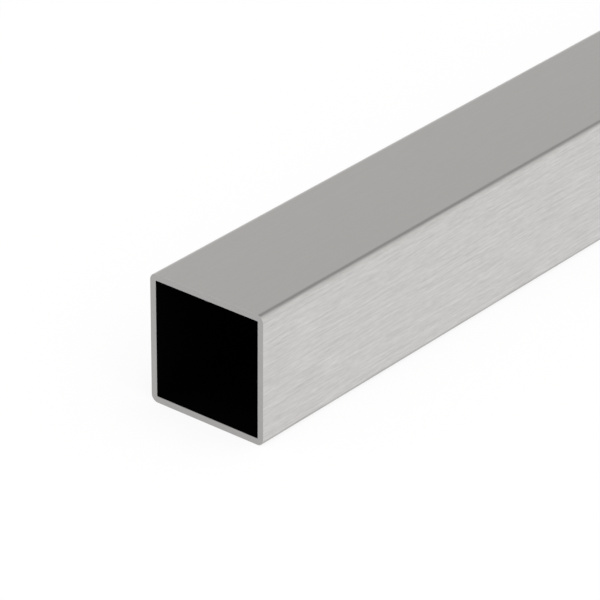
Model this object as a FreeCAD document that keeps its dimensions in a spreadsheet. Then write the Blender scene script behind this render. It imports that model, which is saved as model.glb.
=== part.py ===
# A length of square tube with brushed faces, rolled corners and two open saw-cut ends.
# It lies along X, and stands on Z = 0. Sizes are in millimetres.

import FreeCAD
import Part
import Sketcher
import math
import os

NODE = "square_tube"

# Driving dimensions: name, value, and what it is on the real tube
DIMENSIONS = [
    ("side_width", 40.0, "outside width and height of the section"),
    ("wall_thickness", 2.0, "thickness of all four walls"),
    ("corner_radius", 2.2, "outside radius of the rolled corners"),
    ("tube_length", 1000.0, "length between the saw cuts"),
    ("edge_break", 0.1, "chamfer left by deburring the cut ends"),
    ("bead_width", 2.6, "width of the weld bead inside the tube"),
    ("bead_height", 0.25, "height of the weld bead above the wall"),
]

# How a sketch numbers its own origin and vertical axis, and the points of a line or arc
ORIGIN, VERTICAL_AXIS = -1, -2
START, END, CENTRE = 1, 2, 3

# Places nearer than this, in millimetres, are one place
SAME_PLACE = 1e-6


def make_sheet(doc):
    """The driving dimensions, one named cell each."""
    sheet = doc.addObject("Spreadsheet::Sheet", "dimensions")
    for row, (name, value, meaning) in enumerate(DIMENSIONS, start=1):
        sheet.set(f"A{row}", name)
        sheet.set(f"B{row}", str(value))
        sheet.set(f"C{row}", meaning)
        sheet.setAlias(f"B{row}", name)
    doc.recompute()


def cross_section_sketch(body, name):
    """A sketch across the tube, with Y to its right and Z up."""
    plane = next(feature for feature in body.Origin.OriginFeatures if feature.Role == "YZ_Plane")
    sketch = body.newObject("Sketcher::SketchObject", name)
    sketch.AttachmentSupport = (plane, [""])
    sketch.MapMode = "FlatFace"
    return sketch


def dimension(sketch, name, kind, places, expression):
    """Adds a dimension to a sketch and binds it to the driving dimensions."""
    value = sketch.evalExpression(expression)
    index = sketch.addConstraint(Sketcher.Constraint(kind, *places, value))
    sketch.renameConstraint(index, name)
    sketch.setExpression(f"Constraints.{name}", expression)


def relate(sketch, kind, *places):
    """Adds a relation that has no size, such as tangent or equal."""
    sketch.addConstraint(Sketcher.Constraint(kind, *places))


def draw_rounded_square(sketch, name, width, base, radius):
    """A square with four equal corner arcs, astride the vertical axis and standing at height base.
    width, base and radius are expressions of the driving dimensions."""
    side, foot, bend = (sketch.evalExpression(expression) for expression in (width, base, radius))
    half, flat = side / 2, side / 2 - bend
    middle = foot + half

    # Anticlockwise from the bottom, each side is followed by the corner at its end
    sides, corners = [], []
    for turn in range(4):
        along = FreeCAD.Vector(math.cos(turn * math.pi / 2), math.sin(turn * math.pi / 2), 0)
        outward = FreeCAD.Vector(along.y, -along.x, 0)
        side_middle = FreeCAD.Vector(0, middle, 0) + outward * half
        line = Part.LineSegment(side_middle - along * flat, side_middle + along * flat)
        bend_centre = FreeCAD.Vector(0, middle, 0) + (outward + along) * flat
        circle = Part.Circle(bend_centre, FreeCAD.Vector(0, 0, 1), bend)
        arc = Part.ArcOfCircle(circle, (turn - 1) * math.pi / 2, turn * math.pi / 2)
        sides.append(sketch.addGeometry(line, False))
        corners.append(sketch.addGeometry(arc, False))

    bottom, right, top, left = sides
    for turn in range(4):
        relate(sketch, "Tangent", sides[turn], END, corners[turn], START)
        relate(sketch, "Tangent", corners[turn], END, sides[(turn + 1) % 4], START)
    for corner in corners[1:]:
        relate(sketch, "Equal", corners[0], corner)
    relate(sketch, "Symmetric", bottom, START, bottom, END, VERTICAL_AXIS)
    relate(sketch, "Vertical", right)
    relate(sketch, "Horizontal", top)
    relate(sketch, "Vertical", left)
    relate(sketch, "Equal", bottom, right)

    dimension(sketch, f"{name}_width", "DistanceX", (left, START, right, START), width)
    dimension(sketch, f"{name}_radius", "Radius", (corners[0],), radius)
    height = f"({base}) + ({radius})"
    dimension(sketch, f"{name}_bend_height", "DistanceY", (ORIGIN, START, corners[0], CENTRE), height)


def pad_both_ways(body, name, sketch, length):
    """Draws a sketch out along X, half to each side of the middle of the tube."""
    pad = body.newObject("PartDesign::Pad", name)
    pad.Profile = sketch
    pad.SideType = "Symmetric"
    pad.setExpression("Length", length)
    body.Document.recompute()
    return pad


def make_wall(body):
    """The rolled wall. It stays as thick round a corner as along a side, so the inside and outside bends
    share their centres."""
    sketch = cross_section_sketch(body, "section")
    draw_rounded_square(
        sketch,
        "outside",
        width="dimensions.side_width",
        base="0",
        radius="dimensions.corner_radius",
    )
    draw_rounded_square(
        sketch,
        "inside",
        width="dimensions.side_width - 2 * dimensions.wall_thickness",
        base="dimensions.wall_thickness",
        radius="dimensions.corner_radius - dimensions.wall_thickness",
    )
    return pad_both_ways(body, "wall", sketch, "dimensions.tube_length")


def break_cut_edges(body, wall):
    """The saw burr is taken off the inside and outside edges of both mouths, which leaves a fine chamfer."""
    end_x = wall.Shape.BoundBox.XMax
    mouth_edges = [
        f"Edge{number}"
        for number, edge in enumerate(wall.Shape.Edges, start=1)
        if all(abs(abs(vertex.X) - end_x) < SAME_PLACE for vertex in edge.Vertexes)
    ]
    chamfer = body.newObject("PartDesign::Chamfer", "broken_edges")
    chamfer.Base = (wall, mouth_edges)
    chamfer.setExpression("Size", "dimensions.edge_break")
    body.Document.recompute()


def add_weld_bead(body):
    """The strip's two edges meet in the middle of the top wall. Their weld is ground flush outside and
    left as a low rounded bead inside, from one broken edge to the other."""
    sketch = cross_section_sketch(body, "bead_section")
    ceiling = "dimensions.side_width - dimensions.wall_thickness"
    root = sketch.evalExpression(ceiling)
    half = sketch.evalExpression("dimensions.bead_width / 2")
    low = root - sketch.evalExpression("dimensions.bead_height")
    ends = FreeCAD.Vector(-half, root, 0), FreeCAD.Vector(half, root, 0)
    crown = sketch.addGeometry(Part.Arc(ends[0], FreeCAD.Vector(0, low, 0), ends[1]), False)
    seat = sketch.addGeometry(Part.LineSegment(ends[1], ends[0]), False)

    relate(sketch, "Coincident", crown, END, seat, START)
    relate(sketch, "Coincident", crown, START, seat, END)
    relate(sketch, "Symmetric", seat, START, seat, END, VERTICAL_AXIS)
    dimension(sketch, "seat_width", "DistanceX", (seat, END, seat, START), "dimensions.bead_width")
    dimension(sketch, "seat_height", "DistanceY", (ORIGIN, START, seat, START), ceiling)
    half_squared = "(dimensions.bead_width / 2) ^ 2"
    height_squared = "dimensions.bead_height ^ 2"
    crown_radius = f"({half_squared} + {height_squared}) / (2 * dimensions.bead_height)"
    dimension(sketch, "crown_radius", "Radius", (crown,), crown_radius)
    pad_both_ways(body, "weld_bead", sketch, "dimensions.tube_length - 2 * dimensions.edge_break")


def check(doc, body):
    """Stops the build where a feature has failed or the tube isn't one closed, valid solid."""
    for item in doc.Objects:
        if "Invalid" in item.State or "Error" in item.State:
            raise RuntimeError(f"{item.Name} failed: {item.State}")
    for sketch in doc.findObjects("Sketcher::SketchObject"):
        if sketch.solve() != 0 or not sketch.FullyConstrained:
            raise RuntimeError(f"{sketch.Name} isn't fully constrained")
    if body.Shape.isNull() or not body.Shape.isValid() or len(body.Shape.Solids) != 1:
        raise RuntimeError(f"{body.Label} isn't one valid solid")


def main():
    doc = FreeCAD.newDocument("square_tube_stock")
    make_sheet(doc)
    body = doc.addObject("PartDesign::Body", NODE)
    body.Label = NODE
    body.Placement = FreeCAD.Placement()

    wall = make_wall(body)
    break_cut_edges(body, wall)
    add_weld_bead(body)
    doc.recompute()
    check(doc, body)

    os.makedirs("parts", exist_ok=True)
    body.Shape.exportStep(f"parts/{body.Label}.step")
    box = body.Shape.BoundBox
    print(f"{body.Label}: {box.XLength:.3f} x {box.YLength:.3f} x {box.ZLength:.3f} mm")
    print(f"Z {box.ZMin:.3f} to {box.ZMax:.3f}, volume {body.Shape.Volume:.1f} mm3")


main()
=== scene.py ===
import math

import bmesh
import bpy
from mathutils import Matrix, Vector


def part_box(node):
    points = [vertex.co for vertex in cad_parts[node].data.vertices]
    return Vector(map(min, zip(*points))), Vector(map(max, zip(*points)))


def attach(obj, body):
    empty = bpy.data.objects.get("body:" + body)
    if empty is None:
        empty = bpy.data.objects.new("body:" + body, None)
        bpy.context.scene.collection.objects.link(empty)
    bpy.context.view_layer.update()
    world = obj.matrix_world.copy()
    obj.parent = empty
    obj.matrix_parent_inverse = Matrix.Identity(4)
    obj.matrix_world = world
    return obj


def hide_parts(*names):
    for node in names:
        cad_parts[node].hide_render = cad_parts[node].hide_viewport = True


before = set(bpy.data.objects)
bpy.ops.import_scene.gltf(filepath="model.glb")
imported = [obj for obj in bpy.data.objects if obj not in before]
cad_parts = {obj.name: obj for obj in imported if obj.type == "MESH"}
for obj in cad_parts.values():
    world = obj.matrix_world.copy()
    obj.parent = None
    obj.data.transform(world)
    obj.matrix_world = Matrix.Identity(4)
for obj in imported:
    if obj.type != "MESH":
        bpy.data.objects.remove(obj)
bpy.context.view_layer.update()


# The wall of the tube
# One strip of stainless steel, rolled into a square and welded along the middle of its top wall. The four
# outside faces are brushed lengthwise on a belt, the saw leaves the ends plain, and the inside stays dark.

# Sizes are in metres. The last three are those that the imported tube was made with
low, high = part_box("square_tube")
tube_middle = (low + high) / 2
tube_length = high.x - low.x
side_width = high.y - low.y
wall_thickness = 0.002
corner_radius = 0.0022
edge_round = 0.0001

# How finely the bends, the broken edges, the long faces and the cut rims are divided
bend_steps, edge_steps = 14, 4
lengthwise_steps, crosswise_steps, rim_steps = 50, 6, 4

# The wall's three finishes, in the order of its materials
brushed, saw_cut, dark = 0, 1, 2

# The bands of the flat map that the faces lie in, each from its foot to its top
outside_band, inside_band = (0.0, 0.74), (0.76, 0.94)
far_rim_band, near_rim_band = (0.955, 0.97), (0.98, 0.995)


def rounded_rectangle(width, height, radius, radius_steps, width_steps, height_steps):
    """Places round a rectangle with rounded corners, anticlockwise from its lower left, each with the way out
    of the rectangle there."""
    places = []
    for turn in range(4):
        out = Vector((math.sin(turn * math.pi / 2), -math.cos(turn * math.pi / 2)))
        along = Vector((-out.y, out.x))
        level = turn % 2 == 0
        flat, reach = (width / 2, height / 2) if level else (height / 2, width / 2)
        steps = width_steps if level else height_steps
        for step in range(steps):
            places.append((out * reach + along * (flat - radius) * (2 * step / steps - 1), out))
        bend_centre = out * (reach - radius) + along * (flat - radius)
        for step in range(radius_steps):
            angle = step / radius_steps * math.pi / 2
            way = out * math.cos(angle) + along * math.sin(angle)
            places.append((bend_centre + way * radius, way))
    return places


def shares_along(places):
    """How far along a line each of its places lies, from 0 to 1."""
    steps = [(after - before).length for before, after in zip(places, places[1:])]
    return [sum(steps[:i]) / sum(steps) for i in range(len(places))]


def make_object(name, work):
    """Turns a finished bmesh into a mesh and its object, both of one name."""
    mesh = bpy.data.meshes.new(name)
    work.to_mesh(mesh)
    work.free()
    made = bpy.data.objects.new(name, mesh)
    bpy.context.collection.objects.link(made)
    return made


def make_wall():
    """The wall is a rounded strip, as long as the tube and as thick as its wall, carried round the section.
    Its faces are also laid out flat on a map. The bands of the outside and the inside follow the tube's
    length there, and those of the two rims follow the section."""
    middle_width = side_width - wall_thickness
    middle_radius = corner_radius - wall_thickness / 2
    section = rounded_rectangle(
        middle_width, middle_width, middle_radius, bend_steps, crosswise_steps, crosswise_steps
    )
    strip = rounded_rectangle(
        tube_length, wall_thickness, edge_round, edge_steps, lengthwise_steps, rim_steps
    )
    work = bmesh.new()
    rings, ways_out = [], []
    for across, out in section:
        ring = []
        for along, way in strip:
            place = across + out * along.y
            ring.append(work.verts.new(tube_middle + Vector((along.x, place.x, place.y))))
            ways_out.append(Vector((way.x, out.x * way.y, out.y * way.y)))
        rings.append(ring)

    # The broken edges outside the mouths are brushed with the faces, and those inside go with the rims
    runs = (
        (lengthwise_steps, dark, inside_band),
        (edge_steps + rim_steps, saw_cut, far_rim_band),
        (edge_steps + lengthwise_steps + edge_steps, brushed, outside_band),
        (rim_steps + edge_steps, saw_cut, near_rim_band),
    )
    flat_map = work.loops.layers.uv.new("OFBake")
    round_section = shares_along([place for place, way in section + section[:1]])
    first = 0
    for steps, finish, (foot, top) in runs:
        along_run = shares_along([strip[(first + j) % len(strip)][0] for j in range(steps + 1)])
        for i in range(len(rings)):
            for j in range(steps):
                corners = (i, j), (i, j + 1), (i + 1, j + 1), (i + 1, j)
                face = work.faces.new(
                    rings[a % len(rings)][(first + b) % len(strip)] for a, b in corners
                )
                face.smooth = True
                face.material_index = finish
                for loop, (a, b) in zip(face.loops, corners):
                    lengthwise, rising = along_run[b], round_section[a]
                    if finish == saw_cut:
                        lengthwise, rising = rising, lengthwise
                    loop[flat_map].uv = lengthwise, foot + (top - foot) * rising
        first += steps

    wall = make_object("tube_wall", work)
    wall.data.normals_split_custom_set_from_vertices(ways_out)
    return wall


def add_node(tree, kind, inputs=(), **settings):
    """Adds a node to a tree. An input is given a value, or another node's output that it is linked to."""
    node = tree.nodes.new(kind)
    for name, value in settings.items():
        setattr(node, name, value)
    for socket, value in dict(inputs).items():
        if isinstance(value, bpy.types.NodeSocket):
            tree.links.new(value, node.inputs[socket])
        else:
            node.inputs[socket].default_value = value
    return node


def add_math(tree, operation, *values):
    """The output of a math node, worked out from numbers or other nodes' outputs."""
    return add_node(tree, "ShaderNodeMath", dict(enumerate(values)), operation=operation).outputs["Value"]


def make_streaks_group():
    """Fine lines that all run one way, as a belt, a saw or a roll leaves them. Turn brings the way that they
    run round to X."""
    tree = bpy.data.node_groups.new("streaks", "ShaderNodeTree")
    for name, kind in (("Length", "Float"), ("Width", "Float"), ("Turn", "Vector")):
        tree.interface.new_socket(name, in_out="INPUT", socket_type="NodeSocket" + kind)
    tree.interface.new_socket("Streaks", in_out="OUTPUT", socket_type="NodeSocketFloat")
    given = add_node(tree, "NodeGroupInput")
    place = add_node(tree, "ShaderNodeTexCoord").outputs["Object"]
    turned = add_node(
        tree,
        "ShaderNodeVectorRotate",
        {"Vector": place, "Rotation": given.outputs["Turn"]},
        rotation_type="EULER_XYZ",
    )
    width = given.outputs["Width"]
    size = add_node(
        tree, "ShaderNodeCombineXYZ", {"X": given.outputs["Length"], "Y": width, "Z": width}
    )
    stretched = add_node(
        tree,
        "ShaderNodeVectorMath",
        {0: turned.outputs["Vector"], 1: size.outputs["Vector"]},
        operation="DIVIDE",
    )
    noise = add_node(
        tree,
        "ShaderNodeTexNoise",
        {"Vector": stretched.outputs["Vector"], "Scale": 1.0, "Detail": 2.0, "Roughness": 0.5},
    )
    # The noise seldom leaves this range, which is spread out to 0 to 1
    noise_low, noise_high = 0.2, 0.8
    spread = add_node(
        tree,
        "ShaderNodeMapRange",
        {"Value": noise.outputs["Fac"], "From Min": noise_low, "From Max": noise_high},
    )
    add_node(tree, "NodeGroupOutput", {"Streaks": spread.outputs["Result"]})
    return tree


streaks_group = make_streaks_group()


def add_streaks(tree, length, width, turn=(0, 0, 0)):
    """The output of a streaks group placed in a material. length and width are those of one line, and turn is
    in degrees."""
    inputs = {"Length": length, "Width": width, "Turn": [math.radians(angle) for angle in turn]}
    return add_node(tree, "ShaderNodeGroup", inputs, node_tree=streaks_group).outputs["Streaks"]


def new_material(name):
    """An empty material, with the shader that gives its finish."""
    material = bpy.data.materials.new(name)
    material.use_nodes = True
    tree = material.node_tree
    tree.nodes.clear()
    shader = add_node(tree, "ShaderNodeBsdfPrincipled")
    add_node(tree, "ShaderNodeOutputMaterial", {"Surface": shader.outputs["BSDF"]})
    return material, tree, shader


def between(tree, amount, first, last):
    """A colour or a value that goes from the first to the last as amount goes from 0 to 1."""
    if isinstance(first, tuple):
        ramp = add_node(tree, "ShaderNodeValToRGB", {"Fac": amount})
        for stop, colour in zip(ramp.color_ramp.elements, (first, last)):
            stop.color = *colour, 1
        return ramp.outputs["Color"]
    ramp = add_node(tree, "ShaderNodeMapRange", {"Value": amount, "To Min": first, "To Max": last})
    return ramp.outputs["Result"]


def make_brushed_steel():
    """The belt leaves short fine lines along the tube. They are plain on the two sides and hardly show above
    and below. The underside and its lower bends are painted darker, as painted shade where the tube lies."""
    # How much of the grain is its fine lines, and how much of it shows above and below
    fine_share, quiet_share = 0.42, 0.15
    grain_middle, grain_depth = 0.5, 0.00003

    # The colours and the roughness, from the grain's darkest lines to its brightest
    unshaded_steel = (0.466, 0.455, 0.444), (0.713, 0.701, 0.690)
    # The same steel darkened by painted shade, for the underside and its lower bends
    underside_shade_steel = (0.32, 0.314, 0.308), (0.43, 0.422, 0.416)
    roughness = 0.34, 0.26

    # The way out's Z where the painted shade towards the bottom starts, and where it is full, a quarter of
    # the way round a bend
    underside_shade_starts, underside_shade_full = -0.08, -0.36

    material, tree, shader = new_material("brushed_steel")
    coarse = add_streaks(tree, length=0.014, width=0.0008)
    fine = add_streaks(tree, length=0.003, width=0.0004)
    lines = add_node(tree, "ShaderNodeMix", {"Factor": fine_share, "A": coarse, "B": fine})

    way_out = add_node(tree, "ShaderNodeTexCoord").outputs["Normal"]
    way_out = add_node(tree, "ShaderNodeSeparateXYZ", {"Vector": way_out})
    plainness = between(tree, add_math(tree, "ABSOLUTE", way_out.outputs["Y"]), quiet_share, 1.0)
    grain = add_node(
        tree, "ShaderNodeMix", {"Factor": plainness, "A": grain_middle, "B": lines.outputs["Result"]}
    ).outputs["Result"]

    # Painted shade: the colour darkens towards the bottom, over the lower bends and the underside where the
    # tube lies on the floor
    underside_shade = add_node(
        tree,
        "ShaderNodeMapRange",
        {"Value": way_out.outputs["Z"], "From Min": underside_shade_starts, "From Max": underside_shade_full},
    )
    # A Mix node's colours are its inputs 6 and 7, and its output 2
    colours = {
        0: underside_shade.outputs["Result"],
        6: between(tree, grain, *unshaded_steel),
        7: between(tree, grain, *underside_shade_steel),
    }
    colour = add_node(tree, "ShaderNodeMix", colours, data_type="RGBA").outputs[2]
    tree.links.new(colour, shader.inputs["Base Color"])
    tree.links.new(between(tree, grain, *roughness), shader.inputs["Roughness"])
    shader.inputs["Metallic"].default_value = 1.0
    bump = add_node(tree, "ShaderNodeBump", {"Height": grain, "Distance": grain_depth})
    tree.links.new(bump.outputs["Normal"], shader.inputs["Normal"])
    return material


def make_saw_cut_steel():
    """The blade crosses the end at a slant, and leaves it duller than the brushed faces."""
    cut_steel = (0.403, 0.397, 0.393), (0.440, 0.433, 0.429)
    roughness = 0.5, 0.42
    slant, mark_depth = (-20, 0, -90), 0.00001

    material, tree, shader = new_material("saw_cut_steel")
    marks = add_streaks(tree, length=0.02, width=0.00025, turn=slant)
    tree.links.new(between(tree, marks, *cut_steel), shader.inputs["Base Color"])
    tree.links.new(between(tree, marks, *roughness), shader.inputs["Roughness"])
    shader.inputs["Metallic"].default_value = 1.0
    bump = add_node(tree, "ShaderNodeBump", {"Height": marks, "Distance": mark_depth})
    tree.links.new(bump.outputs["Normal"], shader.inputs["Normal"])
    return material


def make_dark_inside():
    """Nothing polishes the inside, so it keeps a dark matt skin with faint lines from the rolls. Its
    near-black colour is painted shade as well.
    """
    # These colours are painted shade, far darker than a real skin, so that the mouths stay black inside
    skin_and_painted_shade = (0.0003, 0.0003, 0.0003), (0.0008, 0.0008, 0.0008)
    roughness = 0.75, 0.6
    gloss = 0.04

    material, tree, shader = new_material("dark_inside")
    lines = add_streaks(tree, length=0.03, width=0.0012)
    tree.links.new(between(tree, lines, *skin_and_painted_shade), shader.inputs["Base Color"])
    tree.links.new(between(tree, lines, *roughness), shader.inputs["Roughness"])
    shader.inputs["Specular IOR Level"].default_value = gloss
    return material


tube_wall = make_wall()
for finish in (make_brushed_steel(), make_saw_cut_steel(), make_dark_inside()):
    tube_wall.data.materials.append(finish)
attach(tube_wall, "root")
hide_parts("square_tube")


# The weld bead
# The strip's two edges are welded along the middle of the top wall. Outside, the weld is ground flush and
# brushed over. Inside it is left as a low bead with fine ripples, darkened by its own heat.

# bead_root is how deep the bead is sunk in the wall
bead_width, bead_height, bead_root = 0.0026, 0.00025, 0.00005
ripple_pitch, ripple_depth = 0.002, 0.00004

# How finely each ripple and the bead's width are divided
ripple_steps, bead_steps = 4, 8


def make_weld_bead():
    """Each cross-section is a shallow arc that hangs from the wall, with its root sunk in it. The ripples are
    bowed, as the pool of metal behind a moving torch freezes, and run out towards the bead's two edges. The
    two end faces stay at the corner of the flat map, and take the colour that is there."""
    length = tube_length - 2 * edge_round
    ceiling = high.z - wall_thickness
    stations = round(length / ripple_pitch) * ripple_steps
    work = bmesh.new()
    rings = []
    for station in range(stations + 1):
        along = length * (station / stations - 0.5)
        ring = []
        for step in range(bead_steps + 1):
            across = 2 * step / bead_steps - 1
            fullness = 1 - across**2
            turn = 2 * math.pi * (along / ripple_pitch + fullness / 2)
            groove = ripple_depth * (1 - math.cos(turn)) / 2
            ring.append((across * bead_width / 2, ceiling - fullness * (bead_height - groove)))
        ring += [(bead_width / 2, ceiling + bead_root), (-bead_width / 2, ceiling + bead_root)]
        rings.append([work.verts.new((tube_middle.x + along, tube_middle.y + y, z)) for y, z in ring])

    flat_map = work.loops.layers.uv.new("OFBake")
    corners = (0, 0), (1, 0), (1, 1), (0, 1)
    ring_steps = len(rings[0])
    for station in range(stations):
        for step in range(ring_steps):
            face = work.faces.new(
                rings[station + ahead][(step + onward) % ring_steps] for ahead, onward in corners
            )
            face.smooth = step < bead_steps
            for loop, (ahead, onward) in zip(face.loops, corners):
                loop[flat_map].uv = (station + ahead) / stations, (step + onward) / ring_steps
    work.faces.new(rings[0])
    work.faces.new(reversed(rings[-1]))
    bmesh.ops.recalc_face_normals(work, faces=work.faces)
    return make_object("weld_bead", work)


def make_weld_steel():
    """The heat leaves the weld a dark bluish brown, in patches along it."""
    brown, blue = (0.110, 0.078, 0.050), (0.066, 0.080, 0.120)
    roughness = 0.55, 0.4
    bare_share = 0.8

    material, tree, shader = new_material("weld_steel")
    patches = add_streaks(tree, length=0.012, width=0.0009)
    tree.links.new(between(tree, patches, brown, blue), shader.inputs["Base Color"])
    tree.links.new(between(tree, patches, *roughness), shader.inputs["Roughness"])
    shader.inputs["Metallic"].default_value = bare_share
    return material


weld_bead = make_weld_bead()
weld_bead.data.materials.append(make_weld_steel())
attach(weld_bead, "root")
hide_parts("square_tube")


# The floor
# A plain white floor, wide enough to fill the picture. The camera and the steel see it nearly white all over,
# and what is left of its own shade keeps a soft shadow round the tube.

floor_width, floor_gap = 30.0, 0.0001
floor_colour, floor_roughness = (0.97, 0.97, 0.97, 1), 0.9

# How much of what the camera and the steel see of the floor is plain white. The rest is its own shade
white_share = 0.85


def make_floor():
    """One flat square, just under the tube."""
    work = bmesh.new()
    bmesh.ops.create_grid(work, x_segments=1, y_segments=1, size=floor_width / 2)
    bmesh.ops.translate(work, verts=work.verts, vec=(0, 0, low.z - floor_gap))
    floor = make_object("floor", work)

    material, tree, shader = new_material("white_floor")
    shader.inputs["Base Color"].default_value = floor_colour
    shader.inputs["Roughness"].default_value = floor_roughness
    white = add_node(tree, "ShaderNodeEmission", {"Color": (1, 1, 1, 1), "Strength": 1.0})
    rays = add_node(tree, "ShaderNodeLightPath")
    seen = add_math(tree, "MAXIMUM", rays.outputs["Is Camera Ray"], rays.outputs["Is Glossy Ray"])
    seen = add_math(tree, "MAXIMUM", seen, rays.outputs["Is Transmission Ray"])
    whiteness = add_math(tree, "MULTIPLY", seen, white_share)
    shown = add_node(
        tree,
        "ShaderNodeMixShader",
        {0: whiteness, 1: shader.outputs["BSDF"], 2: white.outputs["Emission"]},
    )
    tree.links.new(shown.outputs["Shader"], tree.nodes["Material Output"].inputs["Surface"])
    floor.data.materials.append(material)
    return floor


floor = make_floor()


# The light
# A big soft panel high above the camera, in a grey room that is brightest on the near side of the tube and
# darkest along the middle of its ceiling. All round it stands a low white backdrop.

# Where the middle of the panel is, how wide it is, and how bright it looks, where a white card is 1
panel_place, panel_width, panel_brightness = (-1.0, -0.9, 2.3), 4.4, 1.0


def add_panel():
    """A square soft panel that faces the tube. It lights the floor, where the tube leaves a soft shadow, and
    reaches into the mouths. The steel mirrors the room and the floor, but not the panel."""
    panel = bpy.data.lights.new("high_panel", "AREA")
    panel.shape = "SQUARE"
    panel.size = panel_width
    panel.energy = panel_brightness * math.pi * panel_width**2
    lamp = bpy.data.objects.new("high_panel", panel)
    lamp.location = panel_place
    lamp.rotation_euler = (-Vector(panel_place)).to_track_quat("-Z", "Y").to_euler()
    lamp.visible_glossy = False
    bpy.context.collection.objects.link(lamp)


add_panel()

# How bright the room is, from its near side over the ceiling to its far side. Each stop is how far the way
# there leans to +Y, from -1 to 1, and a brightness
room_brightness = (
    (-0.74, 1.01),
    (-0.55, 0.91),
    (-0.38, 0.82),
    (-0.2, 0.625),
    (-0.05, 0.41),
    (0.13, 0.325),
    (0.3, 0.43),
    (0.48, 0.565),
    (0.62, 0.735),
    (0.75, 0.77),
)
room_tint = 1.0, 0.997, 0.987

# The room's two ends are brighter than the rest. end_wall is how far a way leans to an end where that starts
# and where it is full, and end_share is what the brightness is multiplied by at those two
end_wall, end_share = (0.67, 0.8), (0.96, 1.19)

# The elevations, in degrees, where the mirrored backdrop starts to fade and where it ends
backdrop_fade = 1, 4


def make_room():
    """The camera sees plain white all round. The steel mirrors that white at the foot of the room, where the
    backdrop stands, and the room's own greys above it."""
    world = bpy.data.worlds.new("room")
    world.use_nodes = True
    bpy.context.scene.world = world
    tree = world.node_tree
    tree.nodes.clear()
    way = add_node(tree, "ShaderNodeTexCoord").outputs["Generated"]
    way = add_node(tree, "ShaderNodeSeparateXYZ", {"Vector": way})
    lean = add_node(
        tree, "ShaderNodeMapRange", {"Value": way.outputs["Y"], "From Min": -1.0, "From Max": 1.0}
    )
    shades = add_node(tree, "ShaderNodeValToRGB", {"Fac": lean.outputs["Result"]})
    stops = shades.color_ramp.elements
    while len(stops) < len(room_brightness):
        stops.new(1.0)
    for stop, (leaning, brightness) in zip(stops, room_brightness):
        stop.position = (leaning + 1) / 2
        stop.color = *(brightness * tint for tint in room_tint), 1
    share = add_node(
        tree,
        "ShaderNodeMapRange",
        {
            "Value": add_math(tree, "ABSOLUTE", way.outputs["X"]),
            "From Min": end_wall[0],
            "From Max": end_wall[1],
            "To Min": end_share[0],
            "To Max": end_share[1],
        },
    )
    room = add_node(
        tree,
        "ShaderNodeBackground",
        {"Color": shades.outputs["Color"], "Strength": share.outputs["Result"]},
    )

    white = add_node(tree, "ShaderNodeBackground", {"Color": (1, 1, 1, 1), "Strength": 1.0})
    rays = add_node(tree, "ShaderNodeLightPath")
    start, end = (math.sin(math.radians(angle)) for angle in backdrop_fade)
    backdrop = add_node(
        tree,
        "ShaderNodeMapRange",
        {"Value": way.outputs["Z"], "From Min": start, "From Max": end, "To Min": 1.0, "To Max": 0.0},
    )
    mirrored = add_math(tree, "MULTIPLY", rays.outputs["Is Glossy Ray"], backdrop.outputs["Result"])
    seen = add_math(tree, "MAXIMUM", rays.outputs["Is Camera Ray"], rays.outputs["Is Transmission Ray"])
    shown = add_node(
        tree,
        "ShaderNodeMixShader",
        {
            0: add_math(tree, "MAXIMUM", seen, mirrored),
            1: room.outputs["Background"],
            2: white.outputs["Background"],
        },
    )
    add_node(tree, "ShaderNodeOutputWorld", {"Surface": shown.outputs["Shader"]})


make_room()


# The camera
# A long lens, above and to the left of the tube's near end. Its angles and distance bring the tube's straight
# edges to their places in the photograph, and the middle of the near mouth lies at its place in the picture.

# The picture's width and the mouth's place in it are in pixels, and the lens and its sensor in millimetres
picture_width = 600
mouth_in_picture = 206.48, 359.52
lens, sensor = 240.85, 36.0
azimuth, elevation, roll = math.radians(-50.76), math.radians(28.35), math.radians(0.35)
distance = 27.1 * side_width


def make_camera():
    """The camera is turned to the photograph's angle, then moved across its view until the mouth is in its
    place."""
    back = Vector(
        (
            math.sin(azimuth) * math.cos(elevation),
            -math.cos(azimuth) * math.cos(elevation),
            math.sin(elevation),
        )
    )
    level = Vector((0, 0, 1)).cross(back).normalized()
    upright = back.cross(level)
    right = level * math.cos(roll) + upright * math.sin(roll)
    up = upright * math.cos(roll) - level * math.sin(roll)
    pixel = sensor / lens / picture_width * distance
    mouth = Vector((low.x, tube_middle.y, tube_middle.z))
    to_right = (mouth_in_picture[0] - picture_width / 2) * pixel
    to_foot = (mouth_in_picture[1] - picture_width / 2) * pixel
    place = mouth + back * distance - right * to_right + up * to_foot

    camera = bpy.data.cameras.new("camera")
    camera.lens, camera.sensor_width = lens, sensor
    camera.clip_start, camera.clip_end = 0.05, 100.0
    holder = bpy.data.objects.new("camera", camera)
    holder.matrix_world = Matrix.Translation(place) @ Matrix((right, up, back)).transposed().to_4x4()
    bpy.context.collection.objects.link(holder)
    bpy.context.scene.camera = holder


make_camera()
bpy.context.scene.view_settings.view_transform = "Standard"
